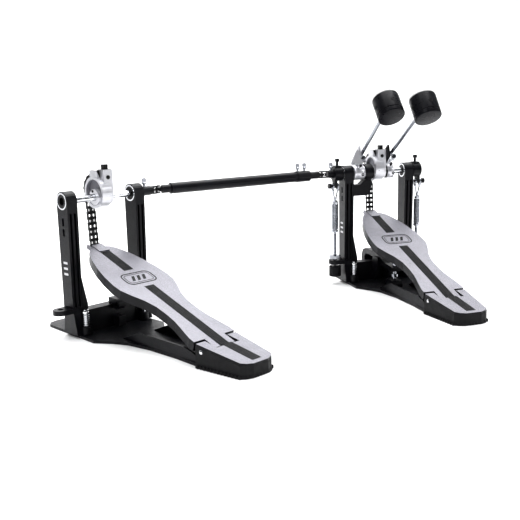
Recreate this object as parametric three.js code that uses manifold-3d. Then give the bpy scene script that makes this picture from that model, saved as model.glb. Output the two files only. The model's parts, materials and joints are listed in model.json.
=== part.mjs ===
// Double bass drum pedal: a left (remote) pedal, a telescopic drive shaft with two
// universal joints, and a right (main) pedal that carries both beaters.
// Millimetres, +Z up. The origin is on the floor under the middle of the main pedal's axle,
// +X runs along that axle away from the remote pedal, and +Y points at the drum.
import * as THREE from "three";
import { mergeVertices } from "three/addons/utils/BufferGeometryUtils.js";
import Module from "manifold-3d";

const wasm = await Module();
wasm.setup();

// ---- driving dimensions -------------------------------------------------------------------
const GAP = 0.3;
const AXLE_Z = 195;
const AXLE_R = 4.9;
const BORE_R = AXLE_R + GAP;
const POST_OUT = 66;
const POST_IN = 49.5;
const POST_HEAD_R = 13.5;
const BEARING_R = 11;

const PLATE_T = 4;
const WALL_TOP = 20;
const PLATE_OUTLINE = [[58, 70], [62, -50], [46, -73], [36, -95], [30, -135], [29, -190], [31, -234]];
const PLATE_FRONT_Y = 82;

const HEEL_FRONT = -236;
const HEEL_REAR = -312;
const HEEL_FRONT_W = 35;
const HEEL_REAR_W = 27.5;
const HEEL_TOP_FRONT = 29;
const HEEL_TOP_REAR = 17;
const HEEL_PLATE_T = 2.4;

const HINGE_Y = -246;
const HINGE_Z = 22.5;
const HINGE_PIN_R = 2.8;

// The footboard is drawn flat, along u from the heel end to the toe, then tilted up.
const BOARD_START = [-235.4, 32.5];
const BOARD_TILT = Math.atan2(85.5, 245.5);
const BOARD_T = 4.5;
const SKIRT = 14;
const SKIRT_T = 3;
const TONGUE_W = 17;
const STRIP_HALF = 8;
const TONGUE_END = -19;
const BOARD_HALF_WIDTH = [
  [2, 34.5], [12, 34.3], [30, 30.5], [50, 26.5], [68, 25.3], [90, 26], [110, 31], [128, 39.5], [145, 45.8],
  [160, 47], [185, 44.8], [210, 40], [232, 33.6], [246, 28], [256, 22.5], [262, 16], [264, 10.5],
];
const TOE_PAD_W = 8.5;
const TOE_CHEEK_T = 2;
const TOE_PAD_END = 271;
const TOE_CHEEK_END = 280;

const CAM = { y: 6, z: AXLE_Z + 6, r: 23, x0: -9, x1: 7 };
const CHAIN_T = 4.6;
const CHAIN_W = 14;
const CHAIN_PIVOT_Y = CAM.y + CAM.r + CHAIN_T / 2 + 0.3;
const CHAIN_PIVOT_Z = CAM.z;
const CHAIN_END = [26.4, 121];

const CLAMP_PIVOT = [-28, 41];
const CLAMP_BOLT_Y = -72;
const SPUR = { x: 50.4, y: -17, thread_r: 5.2, r: 3, tip: 1.5, z0: 17, z1: 41 };

const LINK_X = 80;
const LUG_R = 11;
const LUG_Z = 40;
const LUG_HALF = 3.5;
const SPRING_PIN_DROP = 20.5;
const SPRING_PIN_Y = -2;

const SLAVE_POS = [-496.45, -121.53];
const SLAVE_YAW = THREE.MathUtils.degToRad(26.856);
const U1_X = 100;
const U2_X = -103.7;
const TUBE_R = 8.5;
const DRIVE_R = 6.4;

const SHAFT_R = 3.15;
const SHAFT_OFFSET = 20.5;
const HEAD_R = 22;

// ---- materials ----------------------------------------------------------------------------
const finish = (color, roughness, metalness) => () => new THREE.MeshStandardMaterial({ color, roughness, metalness });
const blackPaint = finish(0x1b1b1f, 0.5, 0.3);
const silverPaint = finish(0xb4b4bc, 0.45, 0.4);
const chrome = finish(0xd8dade, 0.12, 1.0);
const castSilver = finish(0xc9c9cf, 0.35, 0.9);
const blackPlastic = finish(0x1d1d20, 0.4, 0.0);
const blackSteel = finish(0x17171a, 0.35, 0.8);
const felt = finish(0xeeeeea, 0.95, 0.0);

// ---- solids -------------------------------------------------------------------------------
function solid(geometry) {
  const bare = geometry.clone();
  for (const name of Object.keys(bare.attributes)) if (name !== "position") bare.deleteAttribute(name);
  const welded = mergeVertices(bare, 1e-4);
  return new wasm.Manifold(new wasm.Mesh({
    numProp: 3,
    vertProperties: new Float32Array(welded.attributes.position.array),
    triVerts: new Uint32Array(welded.index.array),
  }));
}

function meshOf(name, body, material) {
  const data = body.getMesh();
  const geometry = new THREE.BufferGeometry();
  geometry.setAttribute("position", new THREE.BufferAttribute(new Float32Array(data.vertProperties), 3));
  geometry.setIndex(new THREE.BufferAttribute(new Uint32Array(data.triVerts), 1));
  geometry.computeVertexNormals();
  const mesh = new THREE.Mesh(geometry, material());
  mesh.name = name;
  return mesh;
}

const join = (...parts) => parts.reduce((a, b) => a.add(b));
const cut = (a, ...parts) => parts.reduce((body, tool) => body.subtract(tool), a);

function box(x0, x1, y0, y1, z0, z1) {
  const geometry = new THREE.BoxGeometry(x1 - x0, y1 - y0, z1 - z0);
  return solid(geometry.translate((x0 + x1) / 2, (y0 + y1) / 2, (z0 + z1) / 2));
}

// a round bar between two points
function bar(from, to, radius, sides = 24, radius2 = radius) {
  const a = new THREE.Vector3(...from);
  const b = new THREE.Vector3(...to);
  const direction = b.clone().sub(a);
  const geometry = new THREE.CylinderGeometry(radius2, radius, direction.length(), sides);
  geometry.applyQuaternion(new THREE.Quaternion().setFromUnitVectors(
    new THREE.Vector3(0, 1, 0), direction.clone().normalize()));
  return solid(geometry.translate(...a.add(b).multiplyScalar(0.5).toArray()));
}

const barX = (x0, x1, y, z, radius, sides) => bar([x0, y, z], [x1, y, z], radius, sides);
const barZ = (z0, z1, x, y, radius, sides) => bar([x, y, z0], [x, y, z1], radius, sides);

function shapeOf(points) {
  const shape = new THREE.Shape();
  points.forEach(([a, b], i) => (i ? shape.lineTo(a, b) : shape.moveTo(a, b)));
  shape.closePath();
  return shape;
}

// outline in (y, z), extruded along X
function extrudeX(points, x0, x1) {
  const geometry = new THREE.ExtrudeGeometry(shapeOf(points), { depth: x1 - x0, bevelEnabled: false });
  const turn = new THREE.Matrix4().makeBasis(
    new THREE.Vector3(0, 1, 0), new THREE.Vector3(0, 0, 1), new THREE.Vector3(1, 0, 0));
  return solid(geometry.applyMatrix4(turn).translate(x0, 0, 0));
}

// outline in (x, y), extruded up Z
function extrudeZ(points, z0, z1) {
  const geometry = new THREE.ExtrudeGeometry(shapeOf(points), { depth: z1 - z0, bevelEnabled: false });
  return solid(geometry.translate(0, 0, z0));
}

// outline in (x, z), extruded along Y
function extrudeY(points, y0, y1) {
  const geometry = new THREE.ExtrudeGeometry(shapeOf(points), { depth: y1 - y0, bevelEnabled: false });
  const turn = new THREE.Matrix4().makeBasis(
    new THREE.Vector3(1, 0, 0), new THREE.Vector3(0, 0, 1), new THREE.Vector3(0, -1, 0));
  return solid(geometry.applyMatrix4(turn).translate(0, y1, 0));
}

// profile points (radius, height) turned about Z
function lathe(profile, sides = 24) {
  const points = profile.map(([r, h]) => new THREE.Vector2(r, h));
  return solid(new THREE.LatheGeometry(points, sides).rotateX(Math.PI / 2));
}

// placed copy of a manifold body
function placed(body, matrix) {
  return body.transform(matrix.elements);
}

function arc(cy, cz, radius, from, to, steps) {
  const points = [];
  for (let i = 0; i <= steps; i += 1) {
    const angle = THREE.MathUtils.degToRad(from + ((to - from) * i) / steps);
    points.push([cy + radius * Math.cos(angle), cz + radius * Math.sin(angle)]);
  }
  return points;
}

const mirrored = (points) => [...points, ...points.map(([x, y]) => [-x, y]).reverse()];

// ---- one pedal's parts, in the pedal's own frame -------------------------------------------
function basePlate(prefix) {
  const front = [[0, PLATE_FRONT_Y], [40, PLATE_FRONT_Y], [52, 78]];
  const outline = mirrored([...front.slice(1), ...PLATE_OUTLINE]);
  const plate = extrudeZ(outline.slice().reverse(), 0, PLATE_T);
  const wall = (x0, x1) => extrudeX(
    [[-232, 3], [-232, 12], [-222, 16], [-205, WALL_TOP], [-112, WALL_TOP], [-74, 4.5], [-74, 3]], x0, x1);
  const rib = extrudeX([[-84, 3], [-84, 9], [-80, 15], [-62, 15], [-52, 4.5], [-52, 3]], -9, 9);
  const holes = [
    ...[-1, 1].map((side) => barZ(-1, PLATE_T + 1, side * SPUR.x, SPUR.y, SPUR.r + 0.6, 16)),
    barZ(-1, WALL_TOP + 1, 0, CLAMP_BOLT_Y, 3.6, 16),
  ];
  const plain = join(plate, wall(-29, -26), wall(26, 29));
  return cut(prefix === "s" ? plain : join(plain, rib), ...holes);
}

function post(side) {
  const foot = PLATE_T + GAP;
  const head = arc(0, AXLE_Z, POST_HEAD_R, -8, 188, 14);
  const profile = [...head, [-11.5, 110], [-10, 60], [-11.5, 34], [-18, foot], [17, foot], [14, 26], [13, 60]];
  let body = extrudeX(profile, POST_IN, POST_OUT);
  const gusset = extrudeY([[POST_IN + 1, 92], [46, 68], [41.5, 46], [41.5, foot], [POST_IN + 1, foot]], -11, -5);
  const spurLug = join(
    box(SPUR.x - 7.5, SPUR.x + 7.5, SPUR.y, -8, foot, 16),
    barZ(foot, 16, SPUR.x, SPUR.y, 7.5, 20));
  const lug = join(
    box(POST_OUT - 1, LINK_X, -LUG_R, LUG_R, LUG_Z - LUG_HALF, LUG_Z + LUG_HALF),
    barZ(LUG_Z - LUG_HALF, LUG_Z + LUG_HALF, LINK_X, 0, LUG_R, 24));
  const groove = (x) => box(x - 1.6, x + 1.6, -20, -7.6, 44, 178);
  body = join(body, gusset, spurLug, lug);
  body = cut(
    body,
    barX(POST_IN - 1, POST_OUT + 1, 0, AXLE_Z, BEARING_R + GAP, 32),
    barZ(LUG_Z - 6, LUG_Z + 6, LINK_X, 0, 4.5, 20),
    barZ(0, 18, SPUR.x, SPUR.y, SPUR.r + 0.6, 16),
    barZ(16.5, 60, SPUR.x, SPUR.y, SPUR.thread_r + 0.6, 24),
    groove(61.2),
    groove(54.4),
    box(POST_OUT - 2, POST_OUT + 1, -2.4, 2.4, 160, 171),
    box(POST_OUT - 2, POST_OUT + 1, -2.4, 2.4, 146, 156));
  return side > 0 ? body : placed(body, new THREE.Matrix4().makeScale(-1, 1, 1));
}

function bearing() {
  const ring = [[BORE_R, 0], [BEARING_R, 0], [BEARING_R, 13.6], [BORE_R, 13.6], [BORE_R, 0]];
  return placed(lathe(ring, 32), new THREE.Matrix4().makeRotationY(Math.PI / 2));
}

// cross bar between the post feet; on the main pedal two cheeks hold the hoop clamp's pivot,
// and the remote pedal keeps one plain lug there
function crossbar(prefix) {
  const inner = POST_IN - 8 - GAP - 0.2;
  const barBody = box(-inner, inner, -10, 9, PLATE_T + GAP, 37);
  const cheek = (x0, x1) => extrudeX(
    [[-9, 6], [-9, 37], [-14, 46], [-31, 47], [-36, 41], [-34, 33], [-22, 6]], x0, x1);
  const pivot = barX(-13.5, 13.5, CLAMP_PIVOT[0], CLAMP_PIVOT[1], 3, 20);
  if (prefix === "s") {
    const lug = join(
      box(1, 13, -24, 0, 6, 20),
      barX(1, 13, -18, 38, 8, 24),
      box(1, 13, -18, 0, 31, 46));
    return cut(join(barBody, lug), barX(0, 14, -18, 38, 3.4, 20));
  }
  return cut(join(barBody, cheek(-13, -9.6), cheek(9.6, 13), pivot), box(-9.6, 9.6, -11, 10, 28, 38));
}

function heelOutline(inset) {
  const rear = HEEL_REAR + 4;
  const w = HEEL_REAR_W - inset;
  const round = [[w, rear], [w - 6, rear - 5.5], [w - 15, rear - 9]];
  return mirrored([[HEEL_FRONT_W - inset, HEEL_FRONT - inset], ...round]).reverse();
}

function heelWedge(raise) {
  const slope = (HEEL_TOP_FRONT - HEEL_TOP_REAR) / (HEEL_FRONT - HEEL_REAR);
  const z = (y) => HEEL_TOP_REAR + slope * (y - HEEL_REAR) + raise;
  return extrudeX([[-340, -5], [-340, z(-340)], [-200, z(-200)], [-200, -5]], -50, 50);
}

const TONGUE_POCKET = { w: TONGUE_W + 2.2, y: -259 };

function heelBlock() {
  const body = extrudeZ(heelOutline(0), 0, 40).intersect(heelWedge(0));
  const lip = extrudeZ(heelOutline(-1.2).map(([x, y]) => [x, Math.min(y, HEEL_FRONT)]), 0, 3);
  return cut(
    join(body, lip),
    box(-TONGUE_POCKET.w, TONGUE_POCKET.w, TONGUE_POCKET.y, HEEL_FRONT + 5, 6, 60),
    barX(-60, 60, HINGE_Y, HINGE_Z, HINGE_PIN_R + GAP, 20));
}

function heelPlate() {
  const body = extrudeZ(heelOutline(0.6), 0, 60).intersect(heelWedge(GAP + HEEL_PLATE_T));
  const stripBed = box(-STRIP_HALF, STRIP_HALF, -305, -250, 0, 60).intersect(heelWedge(20));
  return cut(
    body,
    heelWedge(GAP),
    cut(stripBed, heelWedge(GAP + HEEL_PLATE_T - 0.8)),
    box(-TONGUE_POCKET.w, TONGUE_POCKET.w, TONGUE_POCKET.y, HEEL_FRONT + 5, 6, 60));
}

const hingePin = () => barX(-HEEL_FRONT_W + 0.5, HEEL_FRONT_W - 0.5, HINGE_Y, HINGE_Z, HINGE_PIN_R, 20);

// flat board: x across, y = u along, z = 0 at the top face; then tilted about the heel end
function boardFrame() {
  const matrix = new THREE.Matrix4().makeTranslation(0, BOARD_START[0], BOARD_START[1]);
  return matrix.multiply(new THREE.Matrix4().makeRotationX(BOARD_TILT));
}

const boardOutline = (inset, from = -1) => mirrored(
  BOARD_HALF_WIDTH.filter(([u]) => u > from).map(([u, w], i, all) => [
    Math.max(w - inset, 1.5), u + (i === all.length - 1 ? -inset : 0)])).reverse();

function footboard() {
  const plate = extrudeZ(boardOutline(0), -BOARD_T, 0);
  const skirt = extrudeZ(boardOutline(1.2), -SKIRT, -BOARD_T + 1);
  const hollow = extrudeZ(boardOutline(1.2 + SKIRT_T, 10), -SKIRT - 1, -BOARD_T);
  const backRib = box(-2.5, 2.5, 8, 250, -SKIRT + 3, -BOARD_T + 1);
  const tongue = box(-TONGUE_W, TONGUE_W, TONGUE_END, 6, -SKIRT, 0);
  const pad = box(-TOE_PAD_W, TOE_PAD_W, 250, TOE_PAD_END, -7, 1.4);
  const cheek = (side) => box(
    Math.min(side * TOE_PAD_W, side * (TOE_PAD_W + TOE_CHEEK_T)),
    Math.max(side * TOE_PAD_W, side * (TOE_PAD_W + TOE_CHEEK_T)), 252, TOE_CHEEK_END, -8, -1.5);
  const strip = (from, to) => box(-STRIP_HALF, STRIP_HALF, from, to, -1, 1);
  let board = cut(join(plate, skirt), hollow);
  board = join(board, backRib, tongue, pad, cheek(-1), cheek(1));
  board = cut(board, strip(TONGUE_END - 1, 142.5), strip(189.5, 249));
  board = placed(board, boardFrame());
  return cut(
    board,
    barX(-60, 60, HINGE_Y, HINGE_Z, HINGE_PIN_R + GAP, 20),
    box(-60, -TONGUE_W, -262, -236.2, 0, 34.6), box(TONGUE_W, 60, -262, -236.2, 0, 34.6));
}

const hubProfile = (grow) => [
  ...arc(0, AXLE_Z, 12 + grow, -180, 70, 18),
  [3.5 + grow, 234 + grow], [-12 - grow, 234 + grow]];

function camHub() {
  const body = extrudeX(hubProfile(0), -2.5, 12.5);
  const screw = box(1, 8, -8, -1, 233, 241);
  return cut(join(body, screw), barX(-20, 20, 0, AXLE_Z, BORE_R, 28));
}

function camWheel() {
  const disc = barX(CAM.x0, CAM.x1, CAM.y, CAM.z, CAM.r, 48);
  const dish = cut(
    barX(CAM.x0 - 1, -4.5, CAM.y, CAM.z, CAM.r - 4, 40),
    barX(CAM.x0 - 2, 0, 0, AXLE_Z, 12, 28));
  const dish2 = barX(-2.5, CAM.x1 + 1, CAM.y, CAM.z, CAM.r - 4, 40);
  const boss = barX(-12.8, -4, 0, AXLE_Z, 11.5, 28);
  const wrap = extrudeX([
    ...arc(CAM.y, CAM.z, CAM.r + CHAIN_T, 8, 104, 16),
    ...arc(CAM.y, CAM.z, CAM.r - 0.5, 104, 8, 16)], -CHAIN_W / 2, CHAIN_W / 2);
  const hook = extrudeX([[-3, 219], [-3, 232.5], [15, 232.5], [15, 224]], -8.5, -3.1);
  return cut(
    join(cut(disc, dish, dish2), boss, wrap, hook),
    barX(-30, 30, 0, AXLE_Z, BORE_R, 28),
    extrudeX(hubProfile(GAP + 0.15), -2.8, 12.8),
    barX(-9, 9, CHAIN_PIVOT_Y, CHAIN_PIVOT_Z, CHAIN_T / 2 + 0.6, 20));
}

// hanging run of roller chain: two rows of link plates, drawn as waisted links
function chain() {
  const [y1, z1] = CHAIN_END;
  const dy = y1 - CHAIN_PIVOT_Y;
  const dz = z1 - CHAIN_PIVOT_Z;
  const length = Math.hypot(dy, dz);
  const links = 8;
  const pitch = length / links;
  const side = [];
  for (let i = 0; i <= links; i += 1) {
    if (i > 0) side.push([CHAIN_T / 2, i * pitch - 1.6]);
    side.push([CHAIN_T / 2, i * pitch + (i < links ? 1.6 : 1.5)]);
    if (i === 0) side.unshift([CHAIN_T / 2, 0]);
    if (i < links) side.push([CHAIN_T / 2 - 0.8, (i + 0.5) * pitch]);
  }
  const rounded = barX(-CHAIN_W / 2, CHAIN_W / 2, 0, 0, CHAIN_T / 2, 12);
  const body = join(extrudeX(mirrored(side), -CHAIN_W / 2, CHAIN_W / 2), rounded);
  const slot = box(-1.6, 1.6, -10, 10, pitch * 0.6, length - pitch * 0.6);
  const matrix = new THREE.Matrix4().makeTranslation(0, CHAIN_PIVOT_Y, CHAIN_PIVOT_Z);
  matrix.multiply(new THREE.Matrix4().makeRotationX(Math.atan2(-dy, dz)));
  return placed(cut(body, slot), matrix);
}

function spur() {
  const { tip, z0, z1, r, thread_r: threadR } = SPUR;
  return lathe([
    [0, tip], [r, tip + 6], [r, z0], [threadR - 0.6, z0], [threadR, z0 + 1], [threadR, z1 - 1.5],
    [threadR - 1.5, z1], [0, z1]], 18);
}

function spurAt(side) {
  return placed(spur(), new THREE.Matrix4().makeTranslation(side * SPUR.x, SPUR.y, 0));
}

function commonParts(prefix, group) {
  const add = (name, body, material) => group.add(meshOf(`${prefix}_${name}`, body, material));
  add("base_plate", basePlate(prefix), blackPaint);
  add("post_left", post(-1), blackPaint);
  add("post_right", post(1), blackPaint);
  add("crossbar", crossbar(prefix), blackPaint);
  add("heel_block", heelBlock(), blackPlastic);
  add("heel_plate", heelPlate(), silverPaint);
  add("hinge_pin", hingePin(), chrome);
  add("footboard", footboard(), silverPaint);
  add("cam_wheel", camWheel(), castSilver);
  add("cam_hub", camHub(), castSilver);
  add("chain", chain(), blackSteel);
  for (const [name, side] of [["left", -1], ["right", 1]]) {
    const x = side > 0 ? POST_IN + 1 : -POST_OUT + 1.9;
    const ring = placed(bearing(), new THREE.Matrix4().makeTranslation(x, 0, AXLE_Z));
    add(`bearing_${name}`, ring, chrome);
    add(`spur_${name}`, spurAt(side), chrome);
  }
}

// ---- universal joints ----------------------------------------------------------------------
const EAR = { in: 4.2, out: DRIVE_R, half: 2.9, past: 5, base: 9 };

// a fork on the +X side of the joint centre, with its ears above and below
function fork(baseLength) {
  const disc = barX(EAR.base, EAR.base + baseLength, 0, 0, DRIVE_R, 28);
  const envelope = barX(-EAR.past, EAR.base + 1, 0, 0, DRIVE_R, 28);
  const ears = join(
    box(-EAR.past, EAR.base + 1, -EAR.half, EAR.half, EAR.in, DRIVE_R + 1),
    box(-EAR.past, EAR.base + 1, -EAR.half, EAR.half, -DRIVE_R - 1, -EAR.in)).intersect(envelope);
  return cut(join(disc, ears), barZ(-10, 10, 0, 0, 2.6, 16));
}

const axisFrame = (x, y, angle, roll = 0) => new THREE.Matrix4()
  .makeTranslation(x, y, AXLE_Z)
  .multiply(new THREE.Matrix4().makeRotationZ(angle))
  .multiply(new THREE.Matrix4().makeRotationX(roll));

function crossBody() {
  return join(
    solid(new THREE.SphereGeometry(3.4, 16, 10)),
    barZ(-DRIVE_R + 0.6, DRIVE_R - 0.6, 0, 0, 1.3, 14),
    bar([0, -EAR.in + GAP, 0], [0, EAR.in - GAP, 0], 2.2, 14));
}

// ---- the main pedal's own parts --------------------------------------------------------------
function centreBracket() {
  const arm = extrudeY([
    [-POST_IN + GAP, 155], [-21, 155], [-13.2, 164], [-13.2, 190], [-26, 190], [-26, 182], [-34, 174.6],
    [-POST_IN + GAP, 174.6]], -7, 7);
  const ring = barX(-26, -13.2, 0, AXLE_Z, 14.5, 28);
  return cut(join(arm, ring), barX(-30, 0, 0, AXLE_Z, BORE_R, 28));
}

// beater holder: a clamp ring on the axle, a block for the beater shaft and a flat angle plate
function beaterHub(x, lean) {
  const along = [-Math.sin(lean), Math.cos(lean)];
  const off = [Math.cos(lean), Math.sin(lean)];
  const at = (a, n) => [a * along[0] + n * off[0], AXLE_Z + a * along[1] + n * off[1]];
  const ring = barX(x - 6, x + 6, 0, AXLE_Z, 12.3, 28);
  const block = extrudeX([at(-8, 4), at(-8, 27), at(8, 27), at(8, 4)], x - 6, x + 6);
  const plate = extrudeX([[-14, 242], [-20, 223], [0, 205], [15.5, 216]], x - 9, x - 5.5);
  const screw = (a, n, length) => {
    const [y, z] = at(a, n);
    return join(barX(x + 5, x + length, y, z, 2.2, 12), barX(x + length - 5, x + length, y, z, 3.4, 8));
  };
  const from = at(-40, SHAFT_OFFSET);
  const to = at(40, SHAFT_OFFSET);
  const bore = bar([x, ...from], [x, ...to], SHAFT_R + GAP, 20);
  return cut(
    join(ring, block, plate, screw(5, 20.5, 15)),
    barX(x - 12, x + 12, 0, AXLE_Z, BORE_R, 28), bore);
}

function beater(x, lean, reach) {
  const along = new THREE.Vector3(0, -Math.sin(lean), Math.cos(lean));
  const off = new THREE.Vector3(0, Math.cos(lean), Math.sin(lean));
  const foot = new THREE.Vector3(x, 0, AXLE_Z).addScaledVector(off, SHAFT_OFFSET);
  const at = (a, n) => foot.clone().addScaledVector(along, a).addScaledVector(off, n).toArray();
  const shaft = bar(at(-16, 0), at(reach + 8, 0), SHAFT_R, 20);
  const frame = new THREE.Matrix4()
    .makeBasis(new THREE.Vector3(1, 0, 0), along.clone().negate(), off)
    .setPosition(...at(reach, 0));
  const shell = lathe([
    [0, -21], [HEAD_R - 1.2, -21], [HEAD_R, -19.8], [HEAD_R, -13], [HEAD_R - 0.8, -12.4], [HEAD_R - 0.8, -11.6],
    [HEAD_R, -11], [HEAD_R, 16], [HEAD_R - 0.8, 17], [0, 17]], 40);
  const collar = bar([0, 20, 0], [0, 25.5, 0], 5.4, 20);
  const bore = bar([0, -8.6, 0], [0, 30, 0], SHAFT_R + GAP, 20);
  const head = placed(cut(join(shell, collar), bore), frame);
  const cap = lathe([[0, 17 + GAP], [HEAD_R - 1.2, 17 + GAP], [HEAD_R - 1, 20], [HEAD_R - 4, 23], [0, 24.4]], 40);
  return { shaft, head, felt: placed(cap, frame) };
}

// spring rocker: clamp ring on the axle and an arm down to the spring pin
function rocker(side) {
  const pinZ = AXLE_Z - SPRING_PIN_DROP;
  const ring = barX(68, 83, 0, AXLE_Z, 12.5, 28);
  const top = box(70, 81, -7, 7, AXLE_Z + 6, AXLE_Z + 14);
  const arm = extrudeX([[-7, 190], [-6.2, 171], [2.2, 171], [7, 190]], LINK_X - 2.6, LINK_X + 2.6);
  const pin = barX(LINK_X - 6.6, LINK_X + 9, SPRING_PIN_Y, pinZ, 2.1, 14);
  const knob = barX(LINK_X + 8, LINK_X + 12.6, SPRING_PIN_Y, pinZ, 4.6, 18);
  const screw = join(barZ(208, 217, 75.5, 0, 2.2, 12), box(72.6, 78.4, -2.9, 2.9, 216, 221));
  const body = cut(join(ring, top, arm, pin, knob, screw), barX(60, 84, 0, AXLE_Z, BORE_R, 28));
  return side > 0 ? body : placed(body, new THREE.Matrix4().makeScale(-1, 1, 1));
}

// stirrup that hangs on the rocker's pin and holds the spring's top end
function springLink(side) {
  const pinZ = AXLE_Z - SPRING_PIN_DROP;
  const y = SPRING_PIN_Y;
  const slot = (x0, x1) => join(
    box(x0, x1, y - 2.6, y + 2.6, pinZ - 4.5, pinZ),
    barX(x0, x1, y, pinZ, 2.6, 12), barX(x0, x1, y, pinZ - 4.5, 2.6, 12));
  const eye = (x0, x1) => join(
    box(x0, x1, y - 4.4, y + 4.4, pinZ - 5, pinZ),
    barX(x0, x1, y, pinZ, 4.4, 16), barX(x0, x1, y, pinZ - 5, 4.4, 16));
  const leg = (s) => bar(
    [LINK_X + s * 4.4, y, pinZ - 8], [LINK_X + s * 1.2, y, 151.5], 1.3, 10);
  const swivel = lathe([[0, 143.2], [4.8, 143.2], [4.8, 147], [2.4, 149], [2.4, 153], [0, 153.5]], 20);
  let body = join(eye(LINK_X - 5.6, LINK_X - 3.2), eye(LINK_X + 3.2, LINK_X + 5.6), leg(-1), leg(1));
  body = join(body, placed(swivel, new THREE.Matrix4().makeTranslation(LINK_X, y, 0)));
  body = cut(body, slot(LINK_X - 7, LINK_X + 7));
  return side > 0 ? body : placed(body, new THREE.Matrix4().makeScale(-1, 1, 1));
}

const atLink = (body, side, y) => placed(body, new THREE.Matrix4().makeTranslation(side * LINK_X, y, 0));

function returnSpring(side) {
  const coil = [[3.8, 97.3], [5.8, 97.3], [5.8, 142.9], [3.8, 142.9], [3.8, 97.3]];
  return atLink(lathe(coil, 28), side, -1);
}

function springRod(side) {
  const profile = [
    [0, 12.5], [1.9, 12.5], [1.9, 46.3], [10.3, 46.3], [10.3, 51.3], [2.1, 52], [2.4, 92], [5.6, 93], [5.6, 96.9],
    [2.6, 97.2], [2.4, 108], [0, 108]];
  return atLink(lathe(profile, 28), side, -0.4);
}

function tensionKnob(side) {
  const profile = [[2.4, 14], [9.3, 14], [10.3, 15], [10.3, 32], [9.3, 33], [2.4, 33], [2.4, 14]];
  return atLink(lathe(profile, 24), side, -0.4);
}

// hoop clamp lever: hook over the cross bar, pivot, and a tail that the clamp bolt pulls
function clampJaw() {
  const [py, pz] = CLAMP_PIVOT;
  const profile = [
    [28, 26], [40, 26], [41, 40], [36, 50], [26, 54], [0, 54.5], [-24, 50], [-52, 41], [-80, 38], [-80, 31],
    [-52, 32], [-30, 34], [-14, 43], [10, 45], [24, 44], [29, 38]];
  return cut(
    extrudeX(profile, -8.8, 8.8),
    barX(-20, 20, py, pz, 3 + GAP, 20),
    barZ(20, 50, 0, CLAMP_BOLT_Y, 4, 18));
}

function clampBolt() {
  const profile = [
    [0, 5.5], [2.9, 5.5], [2.9, 20.6], [5.6, 20.8], [5.6, 25], [2.9, 25.4], [2.9, 41.8], [4.9, 42], [4.9, 47],
    [4.2, 48], [0, 48]];
  return placed(lathe(profile, 20), new THREE.Matrix4().makeTranslation(0, CLAMP_BOLT_Y, 0));
}

// ---- assembly ------------------------------------------------------------------------------
const root = new THREE.Group();
const main = new THREE.Group();
const remote = new THREE.Group();
remote.position.set(SLAVE_POS[0], SLAVE_POS[1], 0);
remote.rotation.z = SLAVE_YAW;
root.add(main, remote);

commonParts("p", main);
commonParts("s", remote);

const LEAN_A = THREE.MathUtils.degToRad(50.4);
const LEAN_B = THREE.MathUtils.degToRad(55.2);
const HUB_A_X = -32.5;
const HUB_B_X = 22.5;

main.add(meshOf("p_centre_bracket", centreBracket(), blackPaint));
main.add(meshOf("p_axle", barX(-13.9, 83.5, 0, AXLE_Z, AXLE_R, 28), chrome));
main.add(meshOf("p_half_axle", barX(-90.5, -14.5, 0, AXLE_Z, AXLE_R, 28), chrome));
remote.add(meshOf("s_axle", barX(-62, 87, 0, AXLE_Z, AXLE_R, 28), chrome));

for (const [tag, x, lean, reach] of [["a", HUB_A_X, LEAN_A, 153.5], ["b", HUB_B_X, LEAN_B, 167]]) {
  const parts = beater(x, lean, reach);
  main.add(meshOf(`beater_hub_${tag}`, beaterHub(x, lean), castSilver));
  main.add(meshOf(`beater_shaft_${tag}`, parts.shaft, chrome));
  main.add(meshOf(`beater_head_${tag}`, parts.head, blackPlastic));
  main.add(meshOf(`beater_felt_${tag}`, parts.felt, felt));
}

for (const [name, side] of [["left", -1], ["right", 1]]) {
  main.add(meshOf(`rocker_${name}`, rocker(side), blackPaint));
  main.add(meshOf(`spring_link_${name}`, springLink(side), chrome));
  main.add(meshOf(`spring_${name}`, returnSpring(side), chrome));
  main.add(meshOf(`spring_rod_${name}`, springRod(side), chrome));
  main.add(meshOf(`tension_knob_${name}`, tensionKnob(side), blackPlastic));
}

main.add(meshOf("clamp_jaw", clampJaw(), blackPaint));
main.add(meshOf("clamp_bolt", clampBolt(), chrome));

// drive line: joint centres, then forks, crosses, tube and sliding shaft along it
const u1 = new THREE.Vector3(
  SLAVE_POS[0] + U1_X * Math.cos(SLAVE_YAW), SLAVE_POS[1] + U1_X * Math.sin(SLAVE_YAW), AXLE_Z);
const u2 = new THREE.Vector3(U2_X, 0, AXLE_Z);
const driveLength = u1.distanceTo(u2);
const driveYaw = Math.atan2(u2.y - u1.y, u2.x - u1.x);
const TUBE_FROM = 23;
const TUBE_TO = driveLength - 29;

function driveTube() {
  const tube = cut(
    join(barX(TUBE_FROM, TUBE_TO, 0, 0, TUBE_R, 32), barX(TUBE_TO - 26, TUBE_TO, 0, 0, TUBE_R + 0.8, 32)),
    barX(TUBE_FROM + 12, TUBE_TO + 1, 0, 0, DRIVE_R + GAP, 28));
  const end = placed(fork(TUBE_FROM - EAR.base + 2), new THREE.Matrix4().makeRotationX(Math.PI / 2));
  return join(tube, end);
}

function slidingShaft() {
  const shaft = barX(120, driveLength - EAR.base - 2, 0, 0, DRIVE_R - 0.2, 28);
  const turn = new THREE.Matrix4().makeTranslation(driveLength, 0, 0)
    .multiply(new THREE.Matrix4().makeRotationZ(Math.PI))
    .multiply(new THREE.Matrix4().makeRotationX(Math.PI / 2));
  return join(shaft, placed(fork(5), turn));
}

const driveFrame = axisFrame(u1.x, u1.y, driveYaw);
root.add(meshOf("drive_tube", placed(driveTube(), driveFrame), blackPaint));
root.add(meshOf("drive_sliding_shaft", placed(slidingShaft(), driveFrame), chrome));
root.add(meshOf("u_joint_cross_left", placed(crossBody(), driveFrame), chrome));
root.add(meshOf("u_joint_cross_right", placed(crossBody(), axisFrame(u2.x, u2.y, driveYaw)), chrome));

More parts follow.
